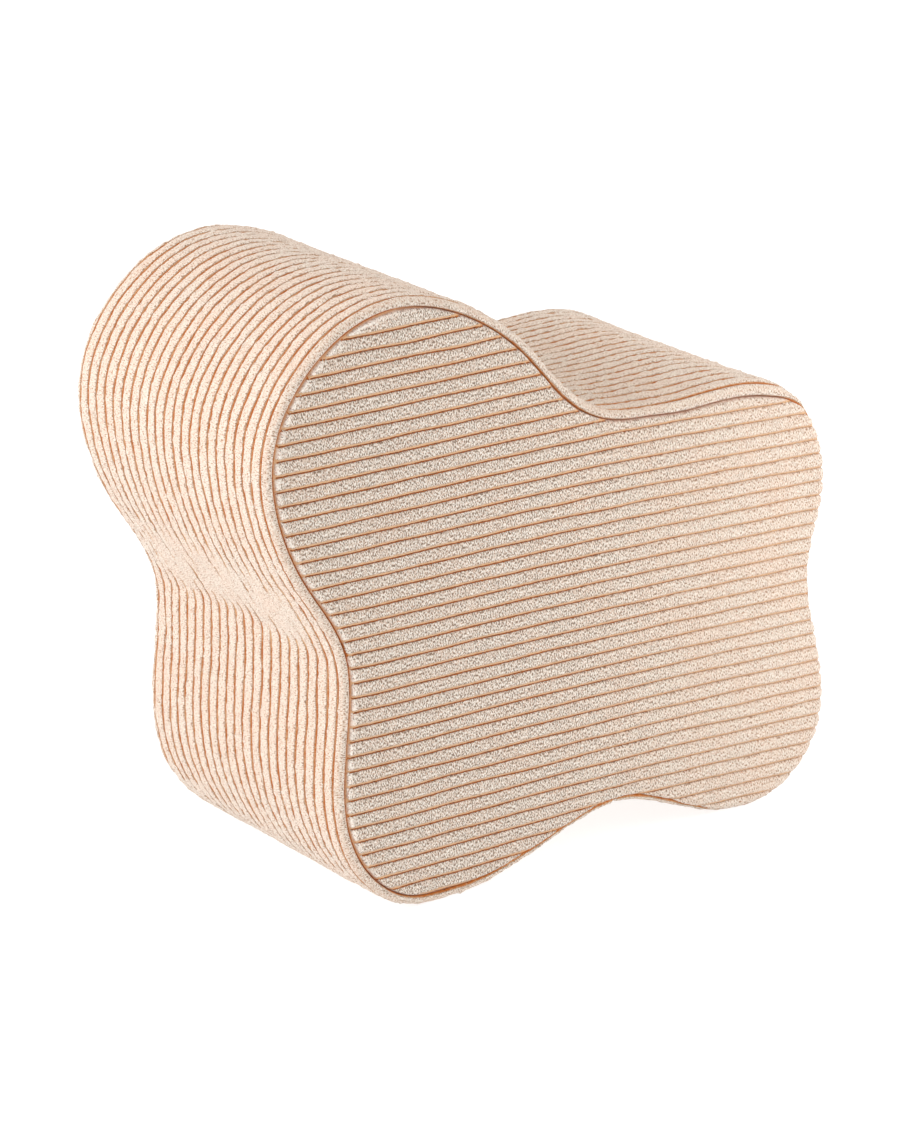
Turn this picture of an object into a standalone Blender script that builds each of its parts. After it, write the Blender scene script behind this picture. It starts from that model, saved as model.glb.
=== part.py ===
"""A lumbar support cushion: a foam block with a four-lobed outline in a zipped, wide-wale corduroy cover.

X runs along the width, Y through the depth and Z up. The front panel faces -Y, the back panel with the zip
faces +Y, and the cushion stands on its two lower lobes at z = 0. Dimensions here are millimetres.
"""

import math

import bmesh
import bpy
import numpy as np

MM = 0.001

# Control points (x, z) of the closed cubic B-spline that outlines the cover at its widest section.
# Clockwise seen from the front, starting at the left of the tall lobe.
OUTLINE_HANDLES = [
    (-185, 207),
    (-213, 298),
    (-153, 364),
    (-87, 370),
    (-12, 325),
    (26, 252),
    (172, 288),
    (212, 190),
    (174, 145),
    (219, 39),
    (141, -20),
    (51, 40),
    (-4, 16),
    (-112, -16),
    (-172, 60),
    (-140, 164),
]
POINTS_PER_SPAN = 8
SETTLING = 1.5  # how far the lower lobes flatten where they stand

HALF_DEPTH = 97.5
GAP = 0.3  # between pieces that touch

COVER_WALL = 3.0
EDGE_RADIUS = 6.0  # the boxing rolls over the edge by this much before the seam
LINER_WALL = 0.8
WADDING_WALL = 5.0
ZIP_ROOM = 3.0  # depth kept free behind the back panel for the zip

ZIP_X = 16.0
ZIP_Z = 80.0
ZIP_HALF_LENGTH = 150.0
ZIP_SLOT_HALF_WIDTH = 5.0
ZIP_SLOT_END_ROOM = 1.0  # from each end stop to the end of the slot
TAPE_OVERHANG = 8.0
TAPE_WIDTH = 13.0
TAPE_WALL = 0.7
COIL_WIDTH = 2.5
COIL_HEIGHT = 1.8
ROW_SPACING = 0.8  # from the zip's centre line to each row, room for the slider's post
STOP_LENGTH = 2.0
STOP_DROP = 0.2  # the stops end this far below the slider's top plate

SLIDER_LENGTH = 9.0
SLIDER_HALF_WIDTH = 4.6
SLIDER_TAIL_HALF_WIDTH = 4.3
SLIDER_PLATE = 1.0
SLIDER_NOSE_TAPER = 1.0
SLIDER_FLANGE = 0.7
FLANGE_LIFT = 0.7  # from the tapes to the flanges
FLANGE_SET_BACK = 1.0  # of both flange ends from the plates' corners
POST_LENGTH = 2.0
POST_HALF_WIDTH = 0.5
POST_SET_BACK = 0.3
BRIDGE_HALF_LENGTH = 3.0
BRIDGE_HEIGHT = 2.6
BRIDGE_WALL = 0.8
BRIDGE_HALF_WIDTH = 0.9
BRIDGE_CHAMFER = 1.0

PULL_LENGTH = 24.0
PULL_HALF_WIDTH = 3.0
PULL_WALL = 1.0
PULL_BAR = 1.0
PULL_CHAMFER = 2.0
PULL_HOLE_LENGTH = 4.4
PULL_HOLE_HALF_WIDTH = 1.4
PULL_PIVOT = 1.2  # from the slider's middle to the pull's hinge axis
PULL_PIVOT_LIFT = 1.0  # from the slider's top plate to the hinge axis

LABEL_WIDTH = 30.0
LABEL_HEIGHT = 45.0
LABEL_WALL = 0.3
LABEL_OFFSET = 10.0  # from the zip's left end

SHARP_ANGLE = math.radians(35)


def clear_scene():
    for obj in list(bpy.data.objects):
        bpy.data.objects.remove(obj)


def make_material(name, colour, roughness, metallic=0.0):
    material = bpy.data.materials.new(name)
    material.use_nodes = True
    shader = material.node_tree.nodes["Principled BSDF"]
    shader.inputs["Base Color"].default_value = (*colour, 1.0)
    shader.inputs["Roughness"].default_value = roughness
    shader.inputs["Metallic"].default_value = metallic
    return material


def make_object(name, mesh_builder, material, origin=(0, 0, 0)):
    """An object from a bmesh in millimetres about its origin, smooth except at sharp edges."""
    bmesh.ops.recalc_face_normals(mesh_builder, faces=mesh_builder.faces)
    bmesh.ops.scale(mesh_builder, vec=(MM, MM, MM), verts=mesh_builder.verts)
    for face in mesh_builder.faces:
        face.smooth = True
    for edge in mesh_builder.edges:
        edge.smooth = edge.calc_face_angle(0) < SHARP_ANGLE
    mesh = bpy.data.meshes.new(name)
    mesh_builder.to_mesh(mesh)
    mesh_builder.free()
    mesh.materials.append(material)
    obj = bpy.data.objects.new(name, mesh)
    obj.location = [value * MM for value in origin]
    bpy.context.scene.collection.objects.link(obj)
    return obj


# ---- the lobed outline -------------------------------------------------------------------------------


def smooth_outline():
    """Points of the closed cubic B-spline, POINTS_PER_SPAN to each control point."""
    handles = np.array(OUTLINE_HANDLES, float)
    before, after, beyond = (np.roll(handles, shift, axis=0) for shift in (1, -1, -2))
    steps = np.arange(POINTS_PER_SPAN) / POINTS_PER_SPAN
    spans = [
        (1 - t) ** 3 * before
        + (3 * t**3 - 6 * t**2 + 4) * handles
        + (1 + 3 * t + 3 * t**2 - 3 * t**3) * after
        + t**3 * beyond
        for t in steps
    ]
    return np.stack(spans, axis=1).reshape(-1, 2) / 6


def outline(inset):
    """The outline moved inwards by inset, flattened where the lower lobes stand."""
    points = smooth_outline()
    points[:, 1] -= points[:, 1].min() + SETTLING
    along = np.roll(points, -1, axis=0) - np.roll(points, 1, axis=0)
    along /= np.linalg.norm(along, axis=1, keepdims=True)
    inwards = np.stack((along[:, 1], -along[:, 0]), axis=1)
    points = points + inset * inwards
    points[:, 1] = np.maximum(points[:, 1], inset)
    return [tuple(point) for point in points]


def ring_at(inset, y):
    return [(x, y, z) for x, z in outline(inset)]


# ---- mesh builders ------------------------------------------------------------------------------------


def loft(rings, capped):
    """Faces between successive rings of points; the ends are capped, or the last ring joins the first."""
    builder = bmesh.new()
    rows = [[builder.verts.new(point) for point in ring] for ring in rings]
    pairs = list(zip(rows, rows[1:]))
    if capped:
        builder.faces.new(rows[0])
        builder.faces.new(rows[-1])
    else:
        pairs.append((rows[-1], rows[0]))
    for lower, upper in pairs:
        for i in range(len(lower)):
            builder.faces.new((lower[i - 1], lower[i], upper[i], upper[i - 1]))
    return builder


def plate(shape, front, back):
    """A plate in the XZ plane, from its outline as (x, z) points."""
    return loft([[(x, y, z) for x, z in shape] for y in (front, back)], capped=True)


def bar(profile, left, right):
    """A bar along X, from its cross-section as (y, z) points."""
    return loft([[(x, y, z) for y, z in profile] for x in (left, right)], capped=True)


def box(left, right, front, back, bottom, top):
    corners = [(left, bottom), (left, top), (right, top), (right, bottom)]
    return plate(corners, front, back)


def rounded_stations(inset, front, back, radius, steps):
    """(inset, y) from the front edge to the back edge of a wrap whose two edges roll over by radius."""
    angles = [math.radians(90 * i / steps) for i in range(steps + 1)]
    drops = [(radius * (1 - math.sin(a)), radius * (1 - math.cos(a))) for a in angles]
    front_edge = [(inset + sideways, front + deep) for sideways, deep in drops]
    back_edge = [(inset + sideways, back - deep) for sideways, deep in reversed(drops)]
    return front_edge + back_edge


def tube(outer, inner):
    """A wrap round the outline, from its outer and its inner stations."""
    return loft([ring_at(inset, y) for inset, y in outer + inner[::-1]], capped=False)


# ---- where each layer lies ----------------------------------------------------------------------------

LINER_INSET = COVER_WALL + GAP
LINER_FRONT = -HALF_DEPTH + COVER_WALL + GAP
LINER_BACK = HALF_DEPTH - COVER_WALL - ZIP_ROOM
LINER_RADIUS = EDGE_RADIUS - LINER_INSET

WADDING_INSET = LINER_INSET + LINER_WALL + GAP
WADDING_FRONT = LINER_FRONT + LINER_WALL + GAP
WADDING_BACK = LINER_BACK - LINER_WALL - GAP
WADDING_RADIUS = EDGE_RADIUS - WADDING_INSET

CORE_INSET = WADDING_INSET + WADDING_WALL + GAP
CORE_FRONT = WADDING_FRONT + WADDING_WALL + GAP
CORE_BACK = WADDING_BACK - WADDING_WALL - GAP

PANEL_INSET = EDGE_RADIUS + GAP  # front and back panels meet the boxing at the seam

TAPE_BACK = HALF_DEPTH - COVER_WALL - GAP
TAPE_FRONT = TAPE_BACK - TAPE_WALL
COIL_FRONT = TAPE_BACK + GAP
COIL_BACK = COIL_FRONT + COIL_HEIGHT
SLIDER_TOP_FRONT = COIL_BACK + GAP
SLIDER_TOP_BACK = SLIDER_TOP_FRONT + SLIDER_PLATE
SLIDER_BOTTOM_BACK = TAPE_FRONT - GAP
SLIDER_BOTTOM_FRONT = SLIDER_BOTTOM_BACK - SLIDER_PLATE
SLIDER_REST_X = ZIP_X + ZIP_HALF_LENGTH - SLIDER_LENGTH / 2 - GAP
PIVOT_Y = SLIDER_TOP_BACK + PULL_PIVOT_LIFT


# ---- the padding: foam, wadding and liner -------------------------------------------------------------


def make_padding():
    foam = make_material("foam", (0.90, 0.86, 0.72), 0.9)
    wadding = make_material("wadding", (0.93, 0.93, 0.91), 0.95)
    liner = make_material("liner", (0.88, 0.86, 0.82), 0.85)

    make_object("foam_core", plate(outline(CORE_INSET), CORE_FRONT, CORE_BACK), foam)

    outer = rounded_stations(WADDING_INSET, WADDING_FRONT, WADDING_BACK, WADDING_RADIUS, 1)
    wrap_inset = WADDING_INSET + WADDING_WALL
    inner = [(wrap_inset, WADDING_FRONT), (wrap_inset, WADDING_BACK)]
    make_object("wadding_wrap", tube(outer, inner), wadding)
    sheet = outline(CORE_INSET)
    make_object("wadding_front", plate(sheet, WADDING_FRONT, WADDING_FRONT + WADDING_WALL), wadding)
    make_object("wadding_back", plate(sheet, WADDING_BACK - WADDING_WALL, WADDING_BACK), wadding)

    outer = rounded_stations(LINER_INSET, LINER_FRONT, LINER_BACK, LINER_RADIUS, 1)
    inner = rounded_stations(
        LINER_INSET + LINER_WALL,
        LINER_FRONT + LINER_WALL,
        LINER_BACK - LINER_WALL,
        LINER_RADIUS - LINER_WALL,
        1,
    )
    make_object("liner_wrap", tube(outer, inner), liner)
    sheet = outline(PANEL_INSET)
    make_object("liner_front", plate(sheet, LINER_FRONT, LINER_FRONT + LINER_WALL), liner)
    make_object("liner_back", plate(sheet, LINER_BACK - LINER_WALL, LINER_BACK), liner)


# ---- the corduroy cover -------------------------------------------------------------------------------


def crossing(start, end, height):
    """The point (x, z) where the line from start to end reaches height."""
    share = (height - start[1]) / (end[1] - start[1])
    return (start[0] + share * (end[0] - start[0]), height)


def part_above(shape, height, side):
    """The part of a clockwise outline above a level line (side 1) or below it (side -1), from cut to cut."""
    kept = [(z - height) * side > 0 for _, z in shape]
    first = next(i for i in range(len(shape)) if kept[i] and not kept[i - 1])
    shape = shape[first:] + shape[:first]
    count = kept.count(True)
    entry = crossing(shape[-1], shape[0], height)
    leave = crossing(shape[count - 1], shape[count], height)
    return [entry, *shape[:count], leave]


def back_panel_half(side):
    """The back panel above (side 1) or below (side -1) the zip, set back along the zip's slot."""
    edge = ZIP_Z + side * GAP / 2
    slot_edge = ZIP_Z + side * ZIP_SLOT_HALF_WIDTH
    reach = side * (ZIP_HALF_LENGTH + STOP_LENGTH + ZIP_SLOT_END_ROOM)
    slot = [
        (ZIP_X + reach, edge),
        (ZIP_X + reach, slot_edge),
        (ZIP_X - reach, slot_edge),
        (ZIP_X - reach, edge),
    ]
    return part_above(outline(PANEL_INSET), edge, side) + slot


def make_cover():
    corduroy = make_material("corduroy", (0.76, 0.61, 0.47), 0.95)
    label = make_material("label", (0.93, 0.92, 0.89), 0.6)

    outer = rounded_stations(0, -HALF_DEPTH, HALF_DEPTH, EDGE_RADIUS, 2)
    inner = rounded_stations(
        COVER_WALL,
        -HALF_DEPTH + COVER_WALL,
        HALF_DEPTH - COVER_WALL,
        EDGE_RADIUS - COVER_WALL,
        2,
    )
    make_object("cover_boxing", tube(outer, inner), corduroy)
    front = plate(outline(PANEL_INSET), -HALF_DEPTH, -HALF_DEPTH + COVER_WALL)
    make_object("cover_front_panel", front, corduroy)
    for name, side in (("upper", 1), ("lower", -1)):
        half = plate(back_panel_half(side), HALF_DEPTH - COVER_WALL, HALF_DEPTH)
        make_object(f"cover_back_{name}", half, corduroy)

    tape_edge = ZIP_Z - ROW_SPACING - TAPE_WIDTH
    label_left = ZIP_X - ZIP_HALF_LENGTH + LABEL_OFFSET
    care_label = box(
        label_left,
        label_left + LABEL_WIDTH,
        TAPE_FRONT,
        TAPE_FRONT + LABEL_WALL,
        tape_edge - GAP - LABEL_HEIGHT,
        tape_edge - GAP,
    )
    make_object("care_label", care_label, label)


# ---- the zip ------------------------------------------------------------------------------------------


def coil_profile(side):
    """Cross-section (y, z) of one coil row: flat on the tape, rounded outside."""
    middle = ZIP_Z + side * (ROW_SPACING + COIL_WIDTH / 2)
    angles = [math.radians(30 * i) for i in range(7)]
    rise = [(COIL_HEIGHT * math.sin(a), COIL_WIDTH / 2 * math.cos(a)) for a in angles]
    return [(COIL_FRONT + up, middle + across) for up, across in rise]


def make_zip_chain():
    tape_cloth = make_material("zip_tape", (0.74, 0.60, 0.46), 0.9)
    coil = make_material("zip_coil", (0.70, 0.55, 0.41), 0.45)
    metal = make_material("zip_metal", (0.78, 0.76, 0.72), 0.3, 1.0)
    left = ZIP_X - ZIP_HALF_LENGTH
    right = ZIP_X + ZIP_HALF_LENGTH
    stop_back = SLIDER_TOP_BACK - STOP_DROP
    row_width = ROW_SPACING + COIL_WIDTH

    for name, side in (("upper", 1), ("lower", -1)):
        near = ZIP_Z + side * ROW_SPACING
        far = ZIP_Z + side * (ROW_SPACING + TAPE_WIDTH)
        tape = box(
            left - TAPE_OVERHANG, right + TAPE_OVERHANG, TAPE_FRONT, TAPE_BACK, *sorted((near, far))
        )
        make_object(f"zip_tape_{name}", tape, tape_cloth)
        make_object(f"zip_coil_{name}", bar(coil_profile(side), left, right), coil)
        height = sorted((near, ZIP_Z + side * row_width))
        stop = box(right + GAP, right + GAP + STOP_LENGTH, COIL_FRONT, stop_back, *height)
        make_object(f"zip_top_stop_{name}", stop, metal)

    stop = box(
        left - GAP - STOP_LENGTH, left - GAP, COIL_FRONT, stop_back, ZIP_Z - row_width, ZIP_Z + row_width
    )
    make_object("zip_bottom_stop", stop, metal)
    return metal


def slider_plate(front, back):
    """One of the slider's two plates, narrower at its tail, with the nose towards +X."""
    half = SLIDER_LENGTH / 2
    shape = [
        (-half, -SLIDER_TAIL_HALF_WIDTH),
        (-half, SLIDER_TAIL_HALF_WIDTH),
        (half - POST_LENGTH, SLIDER_HALF_WIDTH),
        (half, SLIDER_HALF_WIDTH - SLIDER_NOSE_TAPER),
        (half, SLIDER_NOSE_TAPER - SLIDER_HALF_WIDTH),
        (half - POST_LENGTH, -SLIDER_HALF_WIDTH),
    ]
    return plate(shape, front, back)


def bridge_arch():
    """The loop on the slider that holds the pull: an arch in the XY plane."""
    foot = SLIDER_TOP_BACK - SLIDER_PLATE / 2
    rise = SLIDER_TOP_BACK + BRIDGE_HEIGHT
    outer = BRIDGE_HALF_LENGTH
    inner = outer - BRIDGE_WALL
    shape = [
        (-outer, foot),
        (-outer, rise - BRIDGE_CHAMFER),
        (-outer + BRIDGE_CHAMFER, rise),
        (outer - BRIDGE_CHAMFER, rise),
        (outer, rise - BRIDGE_CHAMFER),
        (outer, foot),
        (inner, foot),
        (inner, rise - BRIDGE_WALL),
        (-inner, rise - BRIDGE_WALL),
        (-inner, foot),
    ]
    sides = (-BRIDGE_HALF_WIDTH, BRIDGE_HALF_WIDTH)
    return loft([[(x, y, z) for x, y in shape] for z in sides], capped=True)


def join(body, pieces):
    """Unite the pieces with the body; each piece becomes a hidden helper."""
    for piece in pieces:
        piece.hide_render = True
        piece.display_type = "WIRE"
        union = body.modifiers.new(piece.name, "BOOLEAN")
        union.operation = "UNION"
        union.object = piece


def make_slider(metal):
    slider_origin = (SLIDER_REST_X, 0, ZIP_Z)
    half = SLIDER_LENGTH / 2
    overlap = SLIDER_PLATE / 2
    slider = make_object(
        "zip_slider", slider_plate(SLIDER_TOP_FRONT, SLIDER_TOP_BACK), metal, slider_origin
    )
    flange_inner = ROW_SPACING + COIL_WIDTH + GAP
    flange = (
        FLANGE_SET_BACK - half,
        half - POST_LENGTH - FLANGE_SET_BACK,
        TAPE_BACK + FLANGE_LIFT,
        SLIDER_TOP_FRONT + overlap,
    )
    post = box(
        half - POST_LENGTH,
        half - POST_SET_BACK,
        SLIDER_BOTTOM_BACK - overlap,
        SLIDER_TOP_FRONT + overlap,
        -POST_HALF_WIDTH,
        POST_HALF_WIDTH,
    )
    helpers = {
        "slider_bottom": slider_plate(SLIDER_BOTTOM_FRONT, SLIDER_BOTTOM_BACK),
        "slider_post": post,
        "slider_flange_upper": box(*flange, flange_inner, flange_inner + SLIDER_FLANGE),
        "slider_flange_lower": box(*flange, -flange_inner - SLIDER_FLANGE, -flange_inner),
        "slider_bridge": bridge_arch(),
    }
    join(
        slider,
        [make_object(name, shape, metal, slider_origin) for name, shape in helpers.items()],
    )


def make_pull(metal):
    """The pull tab, its origin on its hinge axis; it lies back over the closed rows."""
    half = PULL_BAR / 2
    tip = half - PULL_LENGTH
    outer = [
        (half, -PULL_HALF_WIDTH),
        (half, PULL_HALF_WIDTH),
        (tip + PULL_CHAMFER, PULL_HALF_WIDTH),
        (tip, PULL_HALF_WIDTH - PULL_CHAMFER),
        (tip, PULL_CHAMFER - PULL_HALF_WIDTH),
        (tip + PULL_CHAMFER, -PULL_HALF_WIDTH),
    ]
    pull_origin = (SLIDER_REST_X + PULL_PIVOT, PIVOT_Y, ZIP_Z)
    pull = make_object(
        "zip_pull", plate(outer, -PULL_WALL / 2, PULL_WALL / 2), metal, pull_origin
    )
    hole = box(
        -half - PULL_HOLE_LENGTH,
        -half,
        -PULL_WALL,
        PULL_WALL,
        -PULL_HOLE_HALF_WIDTH,
        PULL_HOLE_HALF_WIDTH,
    )
    cutter = make_object("pull_hole", hole, metal, pull_origin)
    cutter.hide_render = True
    cutter.display_type = "WIRE"
    cut = pull.modifiers.new("pull_hole", "BOOLEAN")
    cut.operation = "DIFFERENCE"
    cut.object = cutter


clear_scene()
make_padding()
make_cover()
zip_metal = make_zip_chain()
make_slider(zip_metal)
make_pull(zip_metal)
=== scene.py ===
"""The looks of the lumbar support cushion: wide corduroy sewn over a foam block, with a zip across its back.

Lengths are in millimetres, until a mesh is made. The frame has +X to the right seen from the front, +Y to the
back and +Z up, and the cushion stands on z = 0.
"""

import math

import bmesh
import bpy
import numpy as np
from mathutils import Matrix, Vector, geometry, kdtree


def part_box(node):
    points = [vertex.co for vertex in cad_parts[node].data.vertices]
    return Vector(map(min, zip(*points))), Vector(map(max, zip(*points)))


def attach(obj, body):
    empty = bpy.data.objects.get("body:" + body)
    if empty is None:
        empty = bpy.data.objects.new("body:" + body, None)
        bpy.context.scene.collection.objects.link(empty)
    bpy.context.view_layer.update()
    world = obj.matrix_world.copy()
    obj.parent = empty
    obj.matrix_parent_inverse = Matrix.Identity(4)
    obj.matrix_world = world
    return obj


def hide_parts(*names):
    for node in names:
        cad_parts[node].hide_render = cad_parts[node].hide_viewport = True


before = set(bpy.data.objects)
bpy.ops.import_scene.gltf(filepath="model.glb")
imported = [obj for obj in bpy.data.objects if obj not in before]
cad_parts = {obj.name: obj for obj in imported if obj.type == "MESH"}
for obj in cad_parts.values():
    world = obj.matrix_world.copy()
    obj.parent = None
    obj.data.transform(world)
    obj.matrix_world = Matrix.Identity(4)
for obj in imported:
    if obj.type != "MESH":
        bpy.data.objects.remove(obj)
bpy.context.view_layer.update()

MM = 0.001

# The cushion's body, from the frame.
PANEL_LOW, PANEL_HIGH = (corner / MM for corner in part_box("cover_front_panel"))
BOXING_LOW, BOXING_HIGH = (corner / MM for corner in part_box("cover_boxing"))
HALF_DEPTH = BOXING_HIGH.y
PANEL_INSET = BOXING_HIGH.x - PANEL_HIGH.x

# The cover: the boxing rolls over the edge of the block to a seam on the front and another on the back.
EDGE_RADIUS = 6.0
QUARTER = EDGE_RADIUS * math.pi / 2
BOXING_PATH = 2 * (QUARTER + HALF_DEPTH - EDGE_RADIUS)
COVER_WALL = 3.1
JOIN_X = 40.0

# The ribs (wales) of the corduroy.
PITCH = 8.7
RIB_HEIGHT = 2.4
BOXING_RIBS = 23
PANEL_RIBS = 44
FIRST_VALLEY = 3  # the topmost line of a panel; the pile above it is one wide rib
PANEL_TOP_VALLEY = 344.2 + FIRST_VALLEY * PITCH

# Where the points across one rib lie: close together at its foot, where it is steep.
PANEL_SHARES = (0.0, 0.045, 0.11, 0.21, 0.35, 0.5, 0.65, 0.79, 0.89, 0.955)
BOXING_SHARES = (0.0, 0.06, 0.16, 0.33, 0.5, 0.67, 0.84, 0.94)

# How unevenly the ribs run: the wave lengths, and the sizes of the bends, the changes of height and the pile.
LONG_WAVES = (142.5, 80.1, 47.5)
SHORT_WAVES = (80.1, 47.5, 29.3)
PANEL_BEND = 0.25
PANEL_TALL = 0.06
PANEL_FUZZ = 0.18
BOXING_BEND = 0.36
BOXING_TALL = 0.07
BOXING_FUZZ = 0.28
RAGGED_ENDS = 0.4

# Seams: the bare strip beside one, the rounded end of a rib, and how deep the seam lies.
STRIP = 0.6
RIB_END = 1.8
SEAM_DIVE = 0.8
SEAM_DIVE_REACH = 0.9

# How far the front seam leaves the line where the edge starts to round over.
OVER_RIGHT_EDGE = 7.5
LESS_IN_HOLLOW = 2.0
DOWN_TOP_RIGHT = 3.5
UNDER_EDGE = 3.0
SHIFT_REACH = 14

# The zip's place, from the frame.
ZIP_LOW, ZIP_HIGH = (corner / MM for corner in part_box("zip_tape_lower"))
ZIP_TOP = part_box("zip_tape_upper")[1] / MM
ZIP_Z = (ZIP_LOW.z + ZIP_TOP.z) / 2
ZIP_X = (ZIP_LOW.x + ZIP_HIGH.x) / 2
ZIP_REACH = (ZIP_HIGH.x - ZIP_LOW.x) / 2

# The slot in the back panel for the zip, with its folded edges, and the stitches beside it.
SLOT_HALF_WIDTH = 5.0
CUT_GAP = 0.1
FOLD_ROUND = 2.2
STITCH_INSET = 3.0
STITCH_PRESS = 1.1
STITCH_LENGTH = 2.5
STITCH_PITCH = 3.3
ROW_SHORT_OF_TAPE = 4
THREAD = 0.45

# The zip's rows of coils and its tapes.
COIL_PITCH = 1.6
COIL_WIRE = 0.32
COIL_GAP = 0.55
TAPE_CORD = 1.3


def smooth(value, low, high):
    """0 below low, 1 above high, and a smooth step between them."""
    share = np.clip((value - low) / (high - low), 0, 1)
    return share * share * (3 - 2 * share)


class Seamline:
    """The closed line on the front plane where the edge starts to round over. It runs anticlockwise, seen
    from the front."""

    STEP = 0.5
    HARMONICS = 32

    def __init__(self):
        rim = self.panel_rim()
        curve = self.smoothed(rim)
        curve += self.normals(curve) * (PANEL_INSET - EDGE_RADIUS)
        curve = self.resampled(curve)
        start = np.argmin(np.abs(curve - (JOIN_X, 0)) @ (1, 1))
        self.points = np.roll(curve, -start, axis=0)
        self.outward = self.normals(self.points)
        self.count = len(self.points)
        self.length = self.count * self.spacing
        turn = np.roll(self.outward, -1, axis=0) - np.roll(self.outward, 1, axis=0)
        self.bend = (turn * self.tangents(self.points)).sum(1) / (2 * self.spacing)
        self.tree = kdtree.KDTree(self.count)
        for index, (x, z) in enumerate(self.points):
            self.tree.insert((x, 0, z), index)
        self.tree.balance()

    def panel_rim(self):
        """The corners of the CAD front panel's face, in order round its middle."""
        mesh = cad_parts["cover_front_panel"].data
        corners = np.array([v.co for v in mesh.vertices]) / MM
        rim = corners[corners[:, 1] < PANEL_LOW.y + 0.01][:, [0, 2]]
        rim = np.unique(np.round(rim, 2), axis=0)
        middle = (rim.min(0) + rim.max(0)) / 2
        angle = np.arctan2(rim[:, 1] - middle[1], rim[:, 0] - middle[0])
        return rim[np.argsort(angle)]

    def resampled(self, curve):
        """Evenly spaced points, about STEP apart."""
        closed = np.vstack([curve, curve[:1]])
        travel = np.concatenate([[0], np.cumsum(np.linalg.norm(np.diff(closed, axis=0), axis=1))])
        count = round(travel[-1] / self.STEP)
        self.spacing = travel[-1] / count
        wanted = np.arange(count) * self.spacing
        return np.column_stack([np.interp(wanted, travel, closed[:, axis]) for axis in (0, 1)])

    def smoothed(self, rim):
        """The rim without its corners: only its lowest harmonics are kept."""
        curve = self.resampled(rim)
        wave = np.fft.fft(curve[:, 0] + 1j * curve[:, 1])
        wave[self.HARMONICS:-self.HARMONICS] = 0
        curve = np.fft.ifft(wave)
        return np.column_stack([curve.real, curve.imag])

    def tangents(self, curve):
        """The unit direction of a closed curve at each of its points."""
        along = np.roll(curve, -1, axis=0) - np.roll(curve, 1, axis=0)
        return along / np.linalg.norm(along, axis=1)[:, None]

    def normals(self, curve):
        """The unit direction out of a closed curve at each of its points."""
        along = self.tangents(curve)
        return np.column_stack([along[:, 1], -along[:, 0]])

    def value_at(self, travel, values):
        """One of this line's lists of values, read at these distances along it."""
        place = np.asarray(travel, float) / self.spacing
        low = np.floor(place).astype(int)
        share = place - low
        if values.ndim == 2:
            share = share[:, None]
        return values[low % self.count] * (1 - share) + values[(low + 1) % self.count] * share

    def nearest(self, flat):
        """For points (x, z) of the flat pattern: the distance along this line, the distance outside it,
        the point of it that they are measured from, and the way out from there."""
        found = np.array([self.tree.find((x, 0, z))[1] for x, z in flat])
        outward = self.outward[found]
        offset = flat - self.points[found]
        travel = found * self.spacing + (offset * self.tangents(self.points)[found]).sum(1)
        outside = (offset * outward).sum(1)
        return travel, outside, flat - outward * outside[:, None], outward


line = Seamline()


def seam_shift():
    """How far past the line the front seam lies, all round: it runs off the edge on the right and
    underneath, and sits lower on the front along the top right."""
    x, z = line.points.T
    right = smooth(line.outward[:, 0], 0.55, 0.9) * smooth(x, 60, 120)
    top_right = smooth(line.outward[:, 1], 0.75, 0.98) * smooth(x, 60, 95) * smooth(-x, -185, -150)
    under = smooth(-line.outward[:, 1], 0.4, 0.8) * (1 - right)
    hollow = smooth(-line.bend, 0.001, 0.006)
    shift = (OVER_RIGHT_EDGE - LESS_IN_HOLLOW * hollow) * right
    shift -= DOWN_TOP_RIGHT * top_right * smooth(z, 200, 230)
    shift += UNDER_EDGE * under * (smooth(x, -90, 20) + smooth(x, 50, 120))
    reach = round(SHIFT_REACH / line.spacing)
    kernel = np.hanning(2 * reach + 1)
    wrapped = np.concatenate([shift[-reach:], shift, shift[:reach]])
    return np.convolve(wrapped, kernel / kernel.sum(), "valid")


SEAM_SHIFT = {-1: seam_shift(), 1: np.zeros(line.count)}


class Wander:
    """Small smooth wanderings, one of its own for each valley line or rib."""

    def __init__(self, count, size, waves, seed):
        rng = np.random.default_rng(seed)
        self.waves = np.array(waves)
        self.swing = rng.normal(0, size / math.sqrt(len(waves)), (count, len(waves)))
        self.phase = rng.uniform(0, 2 * math.pi, (count, len(waves)))

    def of(self, number, along):
        """The wandering of each whole-numbered line at these distances along it."""
        turn = 2 * math.pi * along[:, None] / self.waves + self.phase[number]
        return (self.swing[number] * np.sin(turn)).sum(1)

    def between(self, number, along):
        """The wandering at fractional line numbers."""
        low = np.clip(np.floor(number).astype(int), 0, len(self.swing) - 2)
        share = number - low
        return (1 - share) * self.of(low, along) + share * self.of(low + 1, along)


def place(foot, outward, past, side):
    """Where points of the cover lie, and which way it faces there. past is the distance from the line
    where the edge starts to round over, along the cover and outwards. side is -1 on the front and 1 on
    the back."""
    angle = np.clip(past / EDGE_RADIUS, 0, math.pi / 2)
    reach = EDGE_RADIUS * np.sin(angle) + np.minimum(past, 0)
    depth = EDGE_RADIUS * (1 - np.cos(angle)) + np.maximum(past - QUARTER, 0)
    x, z = (foot + outward * reach[:, None]).T
    spot = np.column_stack([x, side * (HALF_DEPTH - depth), z])
    sideways = outward * np.sin(angle)[:, None]
    facing = np.column_stack([sideways[:, 0], side * np.cos(angle), sideways[:, 1]])
    return spot, facing


def place_on_boxing(along, past):
    """The same for points of the boxing, where past runs on from the front's line to the back's."""
    back = past > BOXING_PATH / 2
    foot = line.value_at(along, line.points)
    outward = line.value_at(along, line.outward)
    return place(foot, outward, np.where(back, BOXING_PATH - past, past), np.where(back, 1, -1))


# ---------------------------------------------------------------- swelling of the cover

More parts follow.
